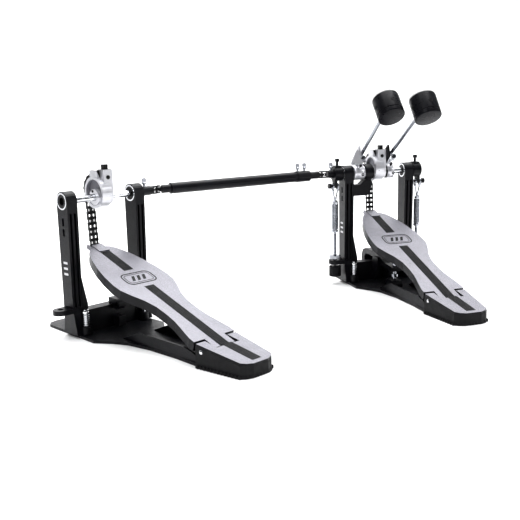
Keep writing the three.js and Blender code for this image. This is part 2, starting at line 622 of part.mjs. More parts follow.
// forks clamped on the two axles
const clampFork = (length) => cut(
  join(fork(6), barX(EAR.base + 5, length, 0, 0, DRIVE_R + 0.6, 28)),
  barX(EAR.base + 3.7, length + 1, 0, 0, BORE_R, 28));
const leftFork = axisFrame(u1.x, u1.y, SLAVE_YAW + Math.PI);
root.add(meshOf("u_joint_fork_left", placed(clampFork(U1_X - 67.5), leftFork), blackPaint));
root.add(meshOf("u_joint_fork_right", placed(clampFork(-U2_X - 83.4), axisFrame(u2.x, u2.y, 0)), blackPaint));

export default root;
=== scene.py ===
"""Double bass drum pedal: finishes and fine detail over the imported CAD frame. Metres."""
import json
import math
import bmesh
import bpy
from mathutils import Matrix, Vector


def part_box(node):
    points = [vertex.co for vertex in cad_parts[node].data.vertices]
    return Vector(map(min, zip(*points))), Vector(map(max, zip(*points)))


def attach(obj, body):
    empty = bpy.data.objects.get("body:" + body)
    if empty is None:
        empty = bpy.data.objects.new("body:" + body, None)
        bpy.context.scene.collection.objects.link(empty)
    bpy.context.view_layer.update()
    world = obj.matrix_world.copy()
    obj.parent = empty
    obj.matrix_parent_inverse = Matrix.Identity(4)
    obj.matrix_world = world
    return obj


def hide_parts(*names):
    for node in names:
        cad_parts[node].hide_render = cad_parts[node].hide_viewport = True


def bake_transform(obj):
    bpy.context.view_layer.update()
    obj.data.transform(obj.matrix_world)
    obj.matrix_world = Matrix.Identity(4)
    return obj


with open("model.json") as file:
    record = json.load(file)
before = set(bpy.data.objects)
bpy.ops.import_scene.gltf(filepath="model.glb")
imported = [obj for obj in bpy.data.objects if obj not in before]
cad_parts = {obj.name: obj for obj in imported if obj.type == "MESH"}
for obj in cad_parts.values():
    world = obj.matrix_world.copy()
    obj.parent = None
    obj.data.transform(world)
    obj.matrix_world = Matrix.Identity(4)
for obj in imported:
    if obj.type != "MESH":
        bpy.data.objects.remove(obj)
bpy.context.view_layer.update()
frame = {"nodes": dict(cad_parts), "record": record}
NODES = frame["nodes"]
RECORD = frame["record"]
MM = 0.001
AXLE_Z = 0.195


def mount(name):
    return Vector(next(m["pos_m"] for m in RECORD["mounts"] if m["name"] == name))


def joint(name):
    return next(j for j in RECORD["behaviour"]["joints"] if j["name"] == name)


def standing(spot, axis):
    """A place at spot whose X points along the level axis."""
    return Matrix.Translation(spot) @ Matrix.Rotation(math.atan2(axis.y, axis.x), 4, "Z")


# the remote pedal's own frame, from where it rests and how its axle points
REMOTE_AXIS = Vector(joint("remote_axle_turn")["axis"])
REMOTE = standing(mount("remote_rest"), REMOTE_AXIS)
MAIN = Matrix.Identity(4)
# node name prefix of each pedal: its place, and what its bodies' names start with
PEDALS = {"p": (MAIN, "main"), "s": (REMOTE, "remote")}
DRIVE_AXIS = Vector(joint("drive_tube_turn")["axis"]).normalized()
DRIVE = standing(Vector(joint("drive_tube_turn")["pos_m"]), DRIVE_AXIS)


# ---- materials ------------------------------------------------------------------------------
def material(name, color, rough, metal=0.0, spread=0.15, scale=60.0, bump=0.1, bump_scale=900.0,
             rough_spread=0.12, specular=0.5, sheen=0.0, flake=0.0):
    """Procedural finish: mottled colour, uneven gloss and a fine surface grain, in object space."""
    made = bpy.data.materials.new(name)
    made.use_nodes = True
    nodes, links = made.node_tree.nodes, made.node_tree.links
    shader = nodes["Principled BSDF"]
    shader.inputs["Metallic"].default_value = metal
    shader.inputs["Specular IOR Level"].default_value = specular
    shader.inputs["Sheen Weight"].default_value = sheen
    place = nodes.new("ShaderNodeTexCoord")

    def noise(size, detail=4.0):
        made_noise = nodes.new("ShaderNodeTexNoise")
        made_noise.inputs["Scale"].default_value = size
        made_noise.inputs["Detail"].default_value = detail
        links.new(place.outputs["Object"], made_noise.inputs["Vector"])
        return made_noise.outputs["Fac"]

    def ramp(factor, low, high, lo=0.3, hi=0.7):
        made_ramp = nodes.new("ShaderNodeValToRGB")
        made_ramp.color_ramp.elements[0].position = lo
        made_ramp.color_ramp.elements[1].position = hi
        made_ramp.color_ramp.elements[0].color = (*low, 1)
        made_ramp.color_ramp.elements[1].color = (*high, 1)
        links.new(factor, made_ramp.inputs["Fac"])
        return made_ramp.outputs["Color"]

    dark = [c * (1 - spread) for c in color]
    light = [min(1, c * (1 + spread)) for c in color]
    tint = ramp(noise(scale), dark, light)
    if flake:
        mix = nodes.new("ShaderNodeMix")
        mix.data_type = "RGBA"
        mix.blend_type = "MULTIPLY"
        mix.inputs["Factor"].default_value = 1.0
        links.new(tint, mix.inputs["A"])
        links.new(ramp(noise(2600, 1.0), [1 - flake] * 3, [1] * 3, 0.42, 0.6), mix.inputs["B"])
        tint = mix.outputs["Result"]
    links.new(tint, shader.inputs["Base Color"])
    gloss = nodes.new("ShaderNodeMapRange")
    gloss.inputs["To Min"].default_value = max(0.02, rough - rough_spread)
    gloss.inputs["To Max"].default_value = min(1, rough + rough_spread)
    links.new(noise(scale * 2.5), gloss.inputs["Value"])
    links.new(gloss.outputs["Result"], shader.inputs["Roughness"])
    if bump:
        grain = nodes.new("ShaderNodeBump")
        grain.inputs["Strength"].default_value = bump
        grain.inputs["Distance"].default_value = 0.0004
        links.new(noise(bump_scale, 2.0), grain.inputs["Height"])
        links.new(grain.outputs["Normal"], shader.inputs["Normal"])
    return made


def checkered(name, color, rough, pitch):
    """Black grip strip: a raised diamond grid, with painted shade in its grooves and a painted highlight on
    its raised diamonds.
    """
    made = material(name, color, rough, spread=0.25, bump=0.0, specular=0.2)
    nodes, links = made.node_tree.nodes, made.node_tree.links
    shader = nodes["Principled BSDF"]
    place = nodes.new("ShaderNodeTexCoord")
    heights = []
    for turn in (math.pi / 4, -math.pi / 4):
        turned = nodes.new("ShaderNodeMapping")
        turned.inputs["Rotation"].default_value = (0, 0, turn)
        links.new(place.outputs["Object"], turned.inputs["Vector"])
        wave = nodes.new("ShaderNodeTexWave")
        wave.inputs["Scale"].default_value = 0.314 / pitch
        links.new(turned.outputs["Vector"], wave.inputs["Vector"])
        heights.append(wave.outputs["Fac"])
    both = nodes.new("ShaderNodeMath")
    both.operation = "MULTIPLY"
    links.new(heights[0], both.inputs[0])
    links.new(heights[1], both.inputs[1])
    grain = nodes.new("ShaderNodeBump")
    grain.inputs["Strength"].default_value = 1.0
    grain.inputs["Distance"].default_value = 0.0012
    links.new(both.outputs[0], grain.inputs["Height"])
    links.new(grain.outputs["Normal"], shader.inputs["Normal"])
    # painted shade and highlight: the colour follows the grid's height, darker in the grooves and lighter on
    # the raised diamonds
    tint = nodes.new("ShaderNodeValToRGB")
    tint.color_ramp.elements[0].color = (*[c * 0.5 for c in color], 1)
    tint.color_ramp.elements[1].color = (*[c * 2.0 for c in color], 1)
    links.new(both.outputs[0], tint.inputs["Fac"])
    links.new(tint.outputs["Color"], shader.inputs["Base Color"])
    return made


MAT = {
    "coat": material("black_powder_coat", (0.0045, 0.0045, 0.0065), 0.34, spread=0.3, bump=0.3,
                     bump_scale=1400, specular=0.22),
    "silver": material("silver_sparkle_coat", (0.34, 0.335, 0.375), 0.44, metal=0.25, spread=0.06,
                       scale=35, bump=0.35, bump_scale=1500, specular=0.4, flake=0.55),
    "strip": checkered("grip_strip", (0.006, 0.006, 0.008), 0.5, 0.0024),
    "chrome": material("chrome_plate", (0.66, 0.67, 0.69), 0.10, metal=1.0, spread=0.04, bump=0.03,
                       rough_spread=0.04),
    "cast": material("bright_casting", (0.60, 0.60, 0.63), 0.33, metal=0.7, spread=0.06, bump=0.08,
                     bump_scale=500),
    "plastic": material("satin_black_plastic", (0.006, 0.006, 0.008), 0.3, spread=0.25, bump=0.2,
                        bump_scale=800, specular=0.14),
    "steel": material("black_steel", (0.007, 0.007, 0.008), 0.32, metal=0.2, spread=0.3, bump=0.15,
                      specular=0.3),
    "rubber": material("black_rubber", (0.007, 0.007, 0.008), 0.6, spread=0.25, bump=0.3,
                       bump_scale=1000, specular=0.25),
    "felt": material("white_felt", (0.74, 0.74, 0.73), 0.95, spread=0.06, scale=220, bump=0.9,
                     bump_scale=1500, sheen=0.3),
    "grey": material("grey_zinc", (0.34, 0.34, 0.36), 0.38, metal=0.8, spread=0.1, bump=0.1),
    # chrome darkened as painted shade, for the shafts, springs, links, rods and small screws
    "rod": material("chrome_painted_shade", (0.34, 0.35, 0.38), 0.2, metal=1.0, spread=0.08, bump=0.05,
                    rough_spread=0.06),
    "web": material("shaded_casting", (0.16, 0.16, 0.18), 0.45, metal=0.7, spread=0.12, bump=0.15),
    "ink": material("badge_ink", (0.006, 0.006, 0.007), 0.5, spread=0.2, bump=0.1, specular=0.2),
    "mark": material("pale_mark", (0.62, 0.62, 0.64), 0.5, spread=0.06, bump=0.1),
}


# ---- mesh building --------------------------------------------------------------------------
def face_loop(mesh, rings, closed=False, caps=True):
    """Skins a list of vertex rings into quads, with end caps."""
    count = len(rings[0])
    pairs = list(zip(rings, rings[1:] + rings[:1])) if closed else list(zip(rings, rings[1:]))
    for low, high in pairs:
        for i in range(count):
            j = (i + 1) % count
            mesh.faces.new((low[i], low[j], high[j], high[i]))
    if caps and not closed:
        mesh.faces.new(tuple(reversed(rings[0])))
        mesh.faces.new(tuple(rings[-1]))


def add_lathe(mesh, profile, place, sides=32):
    """Turns (radius, height) points, in mm, about the local Z of place."""
    rings = []
    for radius, height in profile:
        ring = []
        for i in range(sides):
            angle = 2 * math.pi * i / sides
            point = Vector((radius * math.cos(angle), radius * math.sin(angle), height)) * MM
            ring.append(mesh.verts.new(place @ point))
        rings.append(ring)
    face_loop(mesh, rings)


def add_prism(mesh, outline, low, high, place):
    """Extrudes an (x, y) outline, in mm, between two heights of place."""
    rings = [[mesh.verts.new(place @ (Vector((x, y, z)) * MM)) for x, y in outline] for z in (low, high)]
    face_loop(mesh, rings)


def add_tube(mesh, points, radius, sides=8):
    """A round wire through points in metres; radius in metres."""
    rings = []
    normal = None
    for i, point in enumerate(points):
        ahead = points[min(i + 1, len(points) - 1)] - points[max(i - 1, 0)]
        ahead.normalize()
        if normal is None:
            normal = ahead.orthogonal().normalized()
        normal = (normal - ahead * normal.dot(ahead)).normalized()
        side = ahead.cross(normal)
        ring = []
        for k in range(sides):
            angle = 2 * math.pi * k / sides
            ring.append(mesh.verts.new(point + (normal * math.cos(angle) + side * math.sin(angle)) * radius))
        rings.append(ring)
    face_loop(mesh, rings)


def rounded(half_x, half_y, radius, steps=4):
    """Outline of a rectangle with round corners."""
    points = []
    for quarter, (sx, sy) in enumerate(((1, 1), (-1, 1), (-1, -1), (1, -1))):
        for i in range(steps + 1):
            angle = math.pi / 2 * (quarter + i / steps)
            points.append((sx * (half_x - radius) + radius * math.cos(angle),
                           sy * (half_y - radius) + radius * math.sin(angle)))
    return points


def soften(obj, width, angle=35, segments=2):
    """Smooth shading with crisp edges, and a small round on every sharp edge."""
    obj.data.polygons.foreach_set("use_smooth", [True] * len(obj.data.polygons))
    obj.data.set_sharp_from_angle(angle=math.radians(angle))
    if width:
        round_over = obj.modifiers.new("edge_round", "BEVEL")
        round_over.width = width
        round_over.segments = segments
        round_over.limit_method = "ANGLE"
        round_over.angle_limit = math.radians(angle)
        round_over.harden_normals = False


def piece(name, mesh, finish, body, width=0.0, replaces=(), angle=35):
    """Finishes a bmesh as a named piece that rides on a CAD body."""
    bmesh.ops.recalc_face_normals(mesh, faces=mesh.faces)
    data = bpy.data.meshes.new(name)
    mesh.to_mesh(data)
    mesh.free()
    obj = bpy.data.objects.new(name, data)
    bpy.context.scene.collection.objects.link(obj)
    data.materials.append(MAT[finish])
    soften(obj, width, angle)
    if body:
        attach(obj, body)
    if replaces:
        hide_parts(*replaces)
    return obj


def axes(origin, z_axis, x_hint=(1, 0, 0)):
    """A place whose Z runs along z_axis, at origin in metres."""
    z = Vector(z_axis).normalized()
    x = Vector(x_hint) if abs(z.dot(Vector(x_hint).normalized())) < 0.95 else Vector((0, 0, 1))
    x = (x - z * x.dot(z)).normalized()
    y = z.cross(x)
    turned = Matrix((x, y, z)).transposed().to_4x4()
    return Matrix.Translation(Vector(origin)) @ turned


# ---- CAD nodes: finishes --------------------------------------------------------------------
# nodes that both pedals have, named without their prefix; nodes that a finer piece replaces aren't listed
NODE_FINISH = {
    "coat": ["base_plate", "post_left", "post_right", "crossbar"],
    "rubber": ["heel_block"],
    "silver": ["heel_plate", "footboard"],
    "chrome": ["hinge_pin", "bearing_left", "bearing_right", "axle"],
    "cast": ["cam_wheel", "cam_hub"],
}
SINGLE_FINISH = {
    "coat": ["p_centre_bracket", "rocker_left", "rocker_right", "clamp_jaw", "drive_tube",
             "u_joint_fork_left", "u_joint_fork_right"],
    "chrome": ["p_half_axle"],
    "steel": ["drive_sliding_shaft", "u_joint_cross_left", "u_joint_cross_right"],
    # these parts take the chrome darkened as painted shade
    "rod": ["beater_shaft_a", "beater_shaft_b", "spring_link_left", "spring_link_right",
            "spring_rod_left", "spring_rod_right", "clamp_bolt"],
    "cast": ["beater_hub_a", "beater_hub_b"],
}
# width in metres of the round on a node's sharp edges
EDGE_ROUND = {"coat": 0.0007, "silver": 0.0005, "cast": 0.0006, "rubber": 0.0012}


def finish_nodes():
    todo = [(f"{prefix}_{n}", finish) for prefix in PEDALS
            for finish, names in NODE_FINISH.items() for n in names]
    todo += [(n, finish) for finish, names in SINGLE_FINISH.items() for n in names]
    for name, finish in todo:
        obj = NODES[name]
        obj.data.materials.clear()
        obj.data.materials.append(MAT[finish])
        soften(obj, EDGE_ROUND.get(finish, 0.0))


def repaint(obj, finish, chosen):
    """Gives the faces that chosen(centre, normal) picks, in the CAD frame, a second finish."""
    obj.data.materials.append(MAT[finish])
    index = len(obj.data.materials) - 1
    for face in obj.data.polygons:
        if chosen(face.center, face.normal):
            face.material_index = index


# ---- footboard ------------------------------------------------------------------------------
# the flat tops: Y runs up the slope from the lower edge, Z out of the metal
BOARD_TILT = math.atan2(85.5, 245.5)
BOARD_EDGE = Vector((0, -0.2354, 0.0325))
BOARD_FLAT = Matrix.Translation(BOARD_EDGE) @ Matrix.Rotation(BOARD_TILT, 4, "X")
HEEL_TILT = math.atan2(12, 76)
HEEL_EDGE = Vector((0, -0.236, 0.0317))
HEEL_FLAT = Matrix.Translation(HEEL_EDGE) @ Matrix.Rotation(HEEL_TILT, 4, "X")
FACES_UP = 0.9              # least cosine between a face and the flat's normal, to count as the top
TOE_PAD_HALF_WIDTH = 0.0108
TOE_PAD_START = 0.2515
TOE_PAD_DEPTH = 0.0085
STRIP_HALF_WIDTH = 7.8      # mm
BOARD_STRIPS = ((-17.5, 142.5), (189.5, 248.4))    # start and end up the slope, mm
HEEL_STRIP_MIDDLE = -0.0475
HEEL_STRIP_HALF = 27.2      # mm
BADGE_MIDDLE = 166          # up the slope, mm
BADGE_HEIGHTS = (0.02, 0.22)    # above the flat, mm


def paint_board(prefix, place):
    """Sparkle coat on the tread and the toe pad, black on the skirt and beneath."""
    up = (place @ BOARD_FLAT).to_3x3() @ Vector((0, 0, 1))
    flat = (place @ BOARD_FLAT).inverted()

    def is_black(centre, normal):
        local = flat @ centre
        on_tread = normal.dot(up) > FACES_UP and local.z > -0.0004
        on_toe_pad = (abs(local.x) < TOE_PAD_HALF_WIDTH and local.y > TOE_PAD_START
                      and local.z > -TOE_PAD_DEPTH)
        return not on_tread and not on_toe_pad

    repaint(NODES[f"{prefix}_footboard"], "coat", is_black)
    heel_up = place.to_3x3() @ Vector((0, -math.sin(HEEL_TILT), math.cos(HEEL_TILT)))
    repaint(NODES[f"{prefix}_heel_plate"], "coat", lambda c, n: n.dot(heel_up) < FACES_UP)


def grip_strips(prefix, place, body, frame_body):
    """Checkered strips sunk into the footboard, and one on the heel plate."""
    board = place @ BOARD_FLAT
    mesh = bmesh.new()
    for start, end in BOARD_STRIPS:
        shifted = board @ Matrix.Translation(Vector((0, (start + end) / 2 * MM, 0)))
        add_prism(mesh, rounded(STRIP_HALF_WIDTH, (end - start) / 2, 0.6), -0.9, 0.15, shifted)
    piece(f"{prefix}_grip_strip", mesh, "strip", body, 0.0002)
    mesh = bmesh.new()
    shifted = place @ HEEL_FLAT @ Matrix.Translation(Vector((0, HEEL_STRIP_MIDDLE, 0)))
    add_prism(mesh, rounded(STRIP_HALF_WIDTH, HEEL_STRIP_HALF, 0.6), -0.7, 0.15, shifted)
    piece(f"{prefix}_heel_strip", mesh, "strip", frame_body, 0.0002)


def circle(radius, steps):
    """Outline of a circle."""
    angles = [2 * math.pi * i / steps for i in range(steps)]
    return [(radius * math.cos(angle), radius * math.sin(angle)) for angle in angles]


def ring_outline(mesh, outer, inner, low, high, place):
    """A flat closed band between two outlines of equal length."""
    rings = []
    for outline, z in ((outer, low), (outer, high), (inner, high), (inner, low)):
        rings.append([mesh.verts.new(place @ (Vector((x, y, z)) * MM)) for x, y in outline])
    face_loop(mesh, rings, closed=True)


def badge(prefix, place, body):
    """A plain badge of the builder's own: a rounded frame holding three slanted bars."""
    mesh = bmesh.new()
    centre = place @ BOARD_FLAT @ Matrix.Translation(Vector((0, BADGE_MIDDLE * MM, 0)))
    ring_outline(mesh, rounded(25, 15, 9), rounded(23.2, 13.2, 7.2), *BADGE_HEIGHTS, centre)
    ring_outline(mesh, rounded(20.8, 10.8, 5.4), rounded(20.0, 10.0, 4.6), *BADGE_HEIGHTS, centre)
    for x in (-9, 0, 9):
        slant = [(x - 5.0, -6), (x - 0.2, -6), (x + 5.0, 6), (x + 0.2, 6)]
        add_prism(mesh, slant, *BADGE_HEIGHTS, centre)
    piece(f"{prefix}_badge", mesh, "ink", body)


POST_FACE = 0.066           # outer face of each post, from the pedal's middle
POST_INNER_FACE = 0.0495


def post_marks(prefix, place, body):
    """Three short bars on the outer face of each post."""
    for side in (-1, 1):
        mesh = bmesh.new()
        outward = place.to_3x3() @ Vector((side, 0, 0))
        for z in (92, 100, 108):
            centre = axes(place @ Vector((side * POST_FACE, 0.001, z * MM)), outward, (0, 0, 1))
            add_prism(mesh, rounded(1.6, 5, 0.8), -0.1, 0.2, centre)
        piece(f"{prefix}_post_mark_{'left' if side < 0 else 'right'}", mesh, "mark", body)


# ---- heel -----------------------------------------------------------------------------------
def heel_ribs(prefix, place, body):
    """The ribbed rubber skirt round the heel's foot."""
    mesh = bmesh.new()
    front, rear = (35.6, -240), (28.3, -308)    # ends of a side's row, as (x, y) in mm
    steps = 13
    spots = []
    for side in (-1, 1):
        for i in range(steps):
            t = i / (steps - 1)
            spots.append((side * (front[0] + (rear[0] - front[0]) * t),
                          front[1] + (rear[1] - front[1]) * t))
    for x in range(-20, 21, 5):
        spots.append((x, -316.2 + x ** 2 * 0.008))
    for x, y in spots:
        shifted = place @ Matrix.Translation(Vector((x, y, 0)) * MM)
        add_lathe(mesh, [(1.5, 0.1), (1.7, 0.6), (1.7, 3.6), (0.9, 4.6)], shifted, 10)
    piece(f"{prefix}_heel_ribs", mesh, "rubber", body)


def pin_ends(prefix, place, body):
    """Domed ends of the hinge pin, in their bosses."""
    mesh = bmesh.new()
    for side in (-1, 1):
        outward = place.to_3x3() @ Vector((side, 0, 0))
        at = axes(place @ Vector((side * 0.0335, -0.246, 0.0225)), outward)
        add_lathe(mesh, [(2.6, -2), (2.6, 1.6), (1.9, 2.1), (0.4, 2.2)], at, 24)
    piece(f"{prefix}_pin_ends", mesh, "chrome", body)


# ---- chain ----------------------------------------------------------------------------------
CHAIN_TOP = Vector((0, 0.0316, 0.201))
CHAIN_FOOT = Vector((0, 0.0264, 0.121))
CHAIN_LINKS = 10
CAM = Vector((0, 0.006, 0.201))
ROWS = (-3.5, 3.5)          # middle of each row of rollers, mm
WRAP_PINS = 5
WRAP_START, WRAP_STEP = 9, 21.5    # degrees round the cam, from its drum side
WRAP_RADIUS = 0.0262


def link_plate(mesh, start, end, x, half, height, place):
    """One figure-of-eight side plate between two pins."""
    along = end - start
    length = along.length / MM
    frame_at = axes(start, Vector((1, 0, 0)), along)
    outline = []
    for i in range(9):
        angle = math.pi / 2 + math.pi * i / 8
        outline.append((height * math.cos(angle), height * math.sin(angle)))
    outline.append((length / 2, -height * 0.72))
    for i in range(9):
        angle = -math.pi / 2 + math.pi * i / 8
        outline.append((length + height * math.cos(angle), height * math.sin(angle)))
    outline.append((length / 2, height * 0.72))
    add_prism(mesh, outline, x - half, x + half, place @ frame_at)


def chain_run(mesh, points, place, height):
    """Two rows of rollers on shared pins, with inner and outer side plates by turns."""
    for i, point in enumerate(points):
        pin = place @ axes(point, Vector((1, 0, 0)), (0, 0, 1))
        add_lathe(mesh, [(0.9, -7.2), (1.2, -6.9), (1.2, 6.9), (0.9, 7.2)], pin, 12)
        for row in ROWS:
            roller = [(2.0, row - 1.8), (2.2, row - 1.5), (2.2, row + 1.5), (2.0, row + 1.8)]
            add_lathe(mesh, roller, pin, 16)
        if i + 1 < len(points):
            offset = 2.1 if i % 2 else 2.8
            for row in ROWS:
                for side in (-1, 1):
                    link_plate(mesh, point, points[i + 1], row + side * offset, 0.35, height, place)


def chains(prefix, place, tag):
    """The free run of chain, and the part that lies on the cam and turns with it."""
    run = [CHAIN_TOP.lerp(CHAIN_FOOT, i / CHAIN_LINKS) for i in range(CHAIN_LINKS + 1)]
    mesh = bmesh.new()
    chain_run(mesh, run, place, 2.8)
    piece(f"{prefix}_roller_chain", mesh, "steel", f"{tag}_chain", 0.0, [f"{prefix}_chain"])
    mesh = bmesh.new()
    wrap = []
    for i in range(WRAP_PINS):
        angle = math.radians(WRAP_START + i * WRAP_STEP)
        wrap.append(CAM + Vector((0, math.cos(angle), math.sin(angle))) * WRAP_RADIUS)
    for i in range(WRAP_PINS - 1):
        for x in (-7.5, 7.5):
            link_plate(mesh, wrap[i], wrap[i + 1], x, 0.35, 2.5, place)
    for point in wrap[:-1]:
        pin = place @ axes(point, Vector((1, 0, 0)), (0, 0, 1))
        add_lathe(mesh, [(1.2, -8.0), (1.2, 8.0)], pin, 12)
    piece(f"{prefix}_chain_wrap", mesh, "steel", f"{tag}_axle")


def paint_cam(prefix, place):
    """The chain that lies on the wheel is black, the wheel itself is bright."""
    back = place.inverted()
    side = place.to_3x3() @ Vector((1, 0, 0))

    def on_web(centre, normal):
        local = back @ centre
        return abs(normal.dot(side)) > 0.9 and -0.005 < local.x < -0.0015

    def on_chain(centre, normal):
        local = back @ centre
        out = Vector((local.y - CAM.y, local.z - CAM.z))
        on_rim = out.length > 0.0232 and abs(local.x) < 0.00705
        return on_rim and 0 < math.atan2(out.y, out.x) < 1.9

    repaint(NODES[f"{prefix}_cam_wheel"], "steel", on_chain)
    repaint(NODES[f"{prefix}_cam_hub"], "steel", lambda centre, normal: (back @ centre).z > 0.2331)
    repaint(NODES[f"{prefix}_cam_wheel"], "web", on_web)


def paint_bearings(prefix, place):
    """A bright outer race round a dark seal, and a dark axle end inside it."""
    back = place.inverted()
    side = place.to_3x3() @ Vector((1, 0, 0))

    def on_seal(centre, normal):
        local = back @ centre
        return math.hypot(local.y, local.z - AXLE_Z) < 0.0093

    for name in ("bearing_left", "bearing_right"):
        repaint(NODES[f"{prefix}_{name}"], "steel", on_seal)
    axle = NODES[f"{prefix}_axle"]
    repaint(axle, "steel", lambda centre, normal: abs(normal.dot(side)) > 0.9)


# ---- screws ---------------------------------------------------------------------------------
def key_screw(mesh, origin, direction, size):
    """A drum-key screw: flanged shank with a square head."""
    at = axes(origin, direction)
    profile = [(2.2, 0), (2.2, 4.4), (3.4, 4.6), (3.4, 5.6), (2.6, 6.2)]
    add_lathe(mesh, [(radius * size, height * size) for radius, height in profile], at, 20)
    square = rounded(2.3 * size, 2.3 * size, 0.4)
    add_prism(mesh, square, 6 * size, 10.5 * size, at)


def wing_screw(mesh, origin, direction, across):
    """A thumb screw with a flat oval wing."""
    at = axes(origin, direction, across)
    add_lathe(mesh, [(1.9, 0), (1.9, 3.6), (3.3, 3.9), (3.3, 6.2), (2.3, 7.0), (1.6, 8.0)], at, 20)
    wing = at @ Matrix.Translation(Vector((0, 0, 0.0098))) @ Matrix.Rotation(math.pi / 2, 4, "X")
    add_prism(mesh, rounded(3.6, 3.3, 2.6, 6), -1.0, 1.0, wing)


def socket_screw(mesh, origin, direction, radius):
    """A low round head with a round socket."""
    at = axes(origin, direction)
    socket = circle(radius * 0.45, 24)
    ring_outline(mesh, circle(radius, 24), socket, -0.5, 0.5, at)
    add_prism(mesh, socket, -0.5, -0.1, at)


TUBE_SCREW_HEIGHT = 0.0090    # above the drive shaft's line
FORK_SCREW_HEIGHT = 0.0066    # above the axle's line


def drive_screws():
    """Wing screws that lock the telescopic tube and the two universal joint forks."""
    up = Vector((0, 0, 1))
    mesh = bmesh.new()
    for reach in (0.2615, 0.2755):
        wing_screw(mesh, DRIVE @ Vector((reach, 0, TUBE_SCREW_HEIGHT)), up, DRIVE_AXIS)
    piece("tube_wing_screws", mesh, "rod", "drive_outer", 0.0002)
    mesh = bmesh.new()
    wing_screw(mesh, Vector((-0.0875, 0, AXLE_Z + FORK_SCREW_HEIGHT)), up, (1, 0, 0))
    piece("right_fork_wing_screw", mesh, "rod", "half_axle", 0.0002)
    mesh = bmesh.new()
    wing_screw(mesh, REMOTE @ Vector((0.0765, 0, AXLE_Z + FORK_SCREW_HEIGHT)), up, REMOTE_AXIS)
    piece("left_fork_wing_screw", mesh, "rod", "remote_axle", 0.0002)


def cam_screws(prefix, place, tag):
    """One screw in the side of the cam's clamp, and two in its front."""
    mesh = bmesh.new()
    leftward = place.to_3x3() @ Vector((-1, 0, 0))
    frontward = place.to_3x3() @ Vector((0, -1, 0))
    socket_screw(mesh, place @ Vector((-0.0131, 0.003, AXLE_Z + 0.0085)), leftward, 1.9)
    for z, radius in ((0.223, 3.0), (0.204, 2.2)):
        socket_screw(mesh, place @ Vector((0.0045, -0.0122, z)), frontward, radius)
    piece(f"{prefix}_cam_screws", mesh, "steel", f"{tag}_axle")


def bearing_rings(prefix, place, body):
    """The stepped face of each bearing: a bright rim, a recess and a dust seal."""
    mesh = bmesh.new()
    seals = bmesh.new()
    for x, sign in ((-POST_FACE, -1), (-POST_INNER_FACE, 1), (POST_INNER_FACE, -1), (POST_FACE, 1)):
        at = axes(place @ Vector((x, 0, AXLE_Z)), place.to_3x3() @ Vector((sign, 0, 0)))
        ring_outline(mesh, circle(11.9, 48), circle(9.9, 48), -0.4, 0.5, at)
        ring_outline(seals, circle(9.7, 48), circle(5.6, 48), -1.0, 0.0, at)
    piece(f"{prefix}_bearing_rims", mesh, "chrome", body, 0.0001)
    piece(f"{prefix}_bearing_seals", seals, "steel", body)


# ---- springs --------------------------------------------------------------------------------
SPRING_WIRE = 0.00072       # radius of the wire
SPRING_TURNS = 33
TURN_STEPS = 14


def springs():
    """Coils that stretch between the threaded rod and the hanger loop."""
    for side in ("left", "right"):
        low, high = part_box(f"spring_{side}")
        centre = (Vector(low) + Vector(high)) / 2
        radius = (high[0] - low[0]) / 2 - SPRING_WIRE
        rise = high[2] - low[2] - 2 * SPRING_WIRE
        points = []
        for i in range(SPRING_TURNS * TURN_STEPS + 1):
            angle = 2 * math.pi * i / TURN_STEPS
            points.append(Vector((centre.x + radius * math.cos(angle),
                                  centre.y + radius * math.sin(angle),
                                  low[2] + SPRING_WIRE + rise * i / (SPRING_TURNS * TURN_STEPS))))
        mesh = bmesh.new()
        add_tube(mesh, points, SPRING_WIRE, 6)
        coil = piece(f"spring_coil_{side}", mesh, "rod", None, 0.0, [f"spring_{side}"], 180)
        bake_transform(coil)


def ridges(mesh, place, low, high, radius, pitch, depth):
    """A threaded sleeve: closely stacked rounded ridges."""
    profile = [(radius - depth, low)]
    count = int((high - low) / pitch)
    for i in range(count):
        base = low + i * (high - low) / count
        step = (high - low) / count
        profile += [(radius - depth, base + 0.12 * step), (radius, base + 0.42 * step),
                    (radius, base + 0.58 * step), (radius - depth, base + 0.88 * step)]
    profile.append((radius - depth, high))
    add_lathe(mesh, profile, place, 24)


def spurs():
    """Threaded floor spikes with a capped top."""
    for prefix, (_, tag) in PEDALS.items():
        for side in ("left", "right"):
            mesh = bmesh.new()
            low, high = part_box(f"{prefix}_spur_{side}")
            centre = Matrix.Translation(Vector(((low[0] + high[0]) / 2, (low[1] + high[1]) / 2, 0)))
            add_lathe(mesh, [(0.3, 1.5), (2.9, 7.5), (2.9, 17), (3.6, 17.2), (3.6, 34.5)], centre, 24)
            ridges(mesh, centre, 17.2, 34.2, 5.2, 2.8, 1.7)
            add_lathe(mesh, [(3.0, 34.1), (4.7, 34.6), (5.2, 35.4), (5.2, 39.2), (4.4, 40.6), (2.4, 41),
                             (2.2, 39.6), (0.3, 39.5)], centre, 24)
            piece(f"{prefix}_spur_thread_{side}", mesh, "chrome", f"{tag}_spur_{side}", 0.0,
                  [f"{prefix}_spur_{side}"])


def tension_rods():
    """Thread, lock nut and knurled knob at the foot of each spring."""
    for side, sign in (("left", -1), ("right", 1)):
        rod = Matrix.Translation(Vector((sign * 0.08, -0.0004, 0)))
        mesh = bmesh.new()
        ridges(mesh, rod, 52.2, 90, 2.75, 0.9, 0.35)
        piece(f"rod_thread_{side}", mesh, "rod", f"rod_{side}")
        mesh = bmesh.new()
        knurl(mesh, rod, 46.2, 51.4, 10.4, 30)
        piece(f"lock_nut_{side}", mesh, "grey", f"rod_{side}", 0.0001)
        mesh = bmesh.new()
        knurl(mesh, rod, 13.9, 33.1, 10.5, 20)
        piece(f"knurled_knob_{side}", mesh, "plastic", f"knob_{side}", 0.0003, [f"tension_knob_{side}"])


FLUTE_DEPTH = 0.7           # mm


